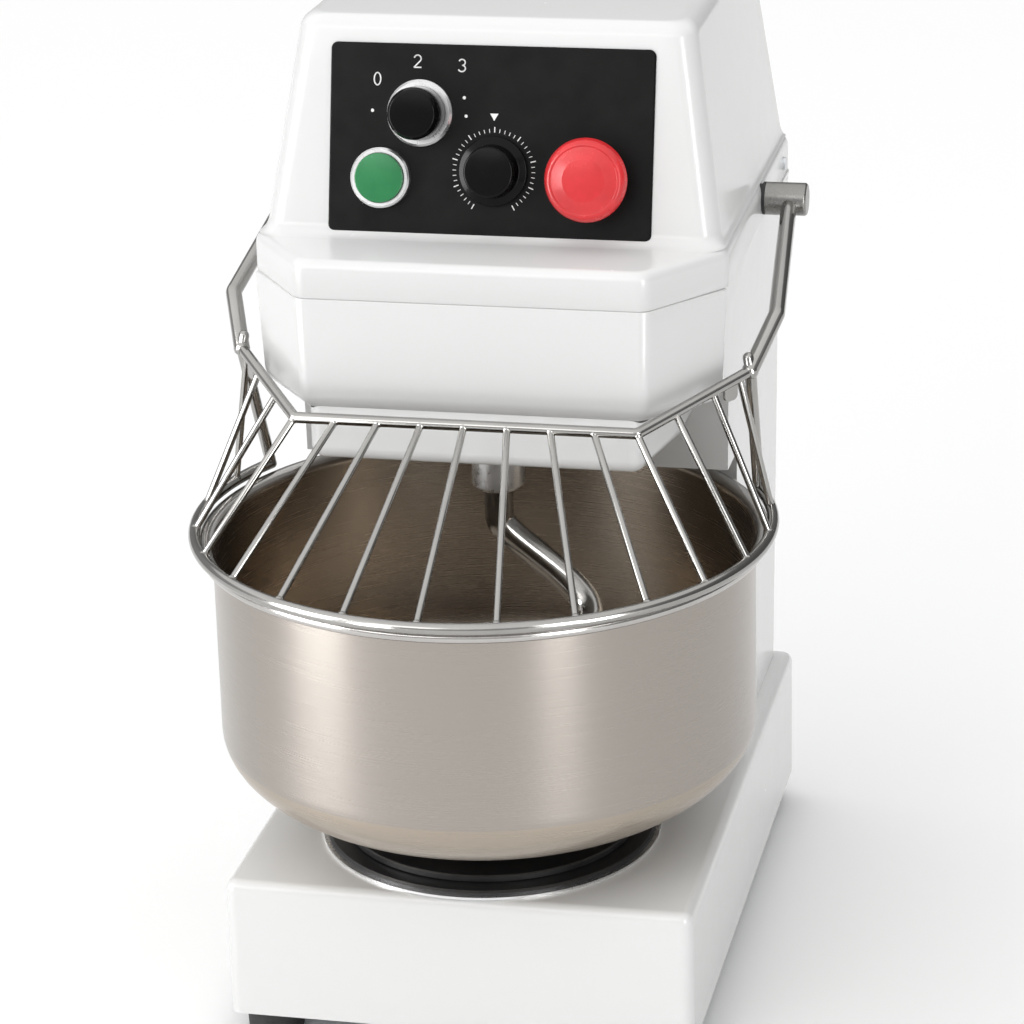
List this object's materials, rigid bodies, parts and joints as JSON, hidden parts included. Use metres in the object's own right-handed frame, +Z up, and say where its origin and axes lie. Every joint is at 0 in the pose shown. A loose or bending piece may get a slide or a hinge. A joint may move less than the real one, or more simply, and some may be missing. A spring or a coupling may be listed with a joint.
{
  "type": "spiral dough mixer",
  "caption": "Countertop spiral dough mixer with a rotating steel bowl, a spiral hook, a lifting wire guard and a sloping control panel.",
  "frame": {"origin": "on the floor, under the middle of the machine's bounding box", "axes": "+Z up; the front faces -Y; +X is to the right of a person who stands in front of the machine"},
  "size_m": [0.394, 0.554, 0.667],
  "materials": {
    "white_paint": "smooth gloss white enamel",
    "stainless_sheet": "spun and fine-brushed stainless steel",
    "polished_rod": "bright polished stainless rod",
    "polished_hook": "polished stainless bar",
    "machined_steel": "turned steel",
    "zinc_steel": "bright zinc plate",
    "cast_housing": "machined grey iron",
    "cast_pulley": "turned aluminium",
    "motor_grey": "satin grey enamel",
    "belt_rubber": "matt rubber",
    "foot_rubber": "matt moulded rubber",
    "black_ring": "satin black",
    "bright_trim": "bright satin metal",
    "panel_black": "fine-grained satin black",
    "knob_black": "smooth black moulding",
    "black_plastic": "matt black moulding",
    "button_green": "smooth green moulding",
    "button_red": "smooth red moulding",
    "stem_grey": "grey moulding",
    "box_grey": "light grey moulding"
  },
  "bodies": {
    "machine": {"ball_bearings": "machined_steel", "base_belt": "belt_rubber", "base_housing": "white_paint", "base_plate": "zinc_steel", "base_ring": "black_ring", "bowl_bearing_housing": "cast_housing", "bowl_belt": "belt_rubber", "cable_gland": "black_plastic", "column_housing": "white_paint", "column_posts": "zinc_steel", "contact_blocks": "black_plastic", "control_bezels": "bright_trim", "control_box": "box_grey", "control_panel": "panel_black", "cover_screws": "zinc_steel", "estop_collar": "black_plastic", "foot_bolts": "zinc_steel", "guard_bushings": "black_plastic", "head_frame_plate": "zinc_steel", "head_lower_casing": "white_paint", "head_skirt": "white_paint", "head_top_cover": "white_paint", "idler_bearing_housing": "cast_housing", "layshaft_bearings": "cast_housing", "motor_belt": "belt_rubber", "motor_body": "motor_grey", "rear_cover": "white_paint", "ring_trim": "bright_trim", "rubber_feet": "foot_rubber", "safety_sensor": "black_plastic", "spiral_bearing_housing": "cast_housing", "spiral_belt": "belt_rubber", "timer_unit": "black_plastic"},
    "guard": {"guard_hoop": "polished_rod", "guard_top_bar": "polished_rod", "guard_wires": "polished_rod", "guard_arms": "polished_rod", "guard_legs": "polished_rod", "guard_tabs": "polished_rod", "guard_sleeves": "polished_rod", "guard_end_caps": "polished_rod", "guard_shaft": "machined_steel"},
    "bowl": {"bowl": "stainless_sheet", "bowl_rim": "stainless_sheet", "turntable": "black_ring", "bowl_bolts": "zinc_steel", "bowl_pulley": "cast_pulley"},
    "spiral": {"spiral_hook": "polished_hook", "spiral_collar": "polished_hook", "spiral_shaft": "machined_steel", "spiral_pulley": "cast_pulley"},
    "layshaft": {"layshaft": "machined_steel", "layshaft_pulleys": "cast_pulley"},
    "idler": {"idler_pulleys": "cast_pulley"},
    "motor_rotor": {"motor_rotor": "machined_steel"},
    "selector": {"selector_knob": "knob_black"},
    "timer": {"timer_knob": "knob_black"},
    "start": {"start_button": "button_green"},
    "estop_plunger": {"estop_stem": "stem_grey"},
    "estop_head": {"estop_mushroom": "button_red"}
  },
  "joints": [
    {"name": "guard_lift", "type": "hinge", "parent": "machine", "child": "guard", "pos_m": [0, 0.12, 0.515], "axis": [-1, 0, 0], "range_deg": [0, 75]},
    {"name": "spiral_spin", "type": "hinge", "parent": "machine", "child": "spiral", "pos_m": [0, -0.033, 0.42], "axis": [0, 0, 1], "continuous": true},
    {"name": "bowl_spin", "type": "hinge", "parent": "machine", "child": "bowl", "pos_m": [0, -0.08, 0.1], "axis": [0, 0, 1], "continuous": true},
    {"name": "layshaft_spin", "type": "hinge", "parent": "machine", "child": "layshaft", "pos_m": [-0.058, 0.16, 0.3], "axis": [0, 0, 1], "continuous": true},
    {"name": "idler_spin", "type": "hinge", "parent": "machine", "child": "idler", "pos_m": [0, 0.05, 0.07], "axis": [0, 0, 1], "continuous": true},
    {"name": "motor_spin", "type": "hinge", "parent": "machine", "child": "motor_rotor", "pos_m": [0.072, 0.189, 0.35], "axis": [0, 0, 1], "continuous": true},
    {"name": "selector_turn", "type": "hinge", "parent": "machine", "child": "selector", "pos_m": [-0.0475, -0.02663, 0.6067], "axis": [0, 0.9736, -0.2284], "range_deg": [0, 100]},
    {"name": "timer_turn", "type": "hinge", "parent": "machine", "child": "timer", "pos_m": [0.003, -0.03501, 0.57097], "axis": [0, 0.9736, -0.2284], "range_deg": [0, 300]},
    {"name": "start_press", "type": "slide", "parent": "machine", "child": "start", "axis": [0, 0.9736, -0.2284], "range_m": [0, 0.0035], "stiffness_N_per_m": 300},
    {"name": "estop_press", "type": "slide", "parent": "machine", "child": "estop_plunger", "axis": [0, 0.9736, -0.2284], "range_m": [0, 0.005], "stiffness_N_per_m": 400},
    {"name": "estop_twist", "type": "hinge", "parent": "estop_plunger", "child": "estop_head", "pos_m": [0.068, -0.05029, 0.57148], "axis": [0, 0.9736, -0.2284], "range_deg": [0, 40], "stiffness_Nm_per_rad": 0.1}
  ],
  "couplings": [
    {"joint": "idler_spin", "follows": "bowl_spin", "ratio": 5},
    {"joint": "layshaft_spin", "follows": "bowl_spin", "ratio": 20},
    {"joint": "spiral_spin", "follows": "bowl_spin", "ratio": 8.8889},
    {"joint": "motor_spin", "follows": "bowl_spin", "ratio": 64}
  ]
}
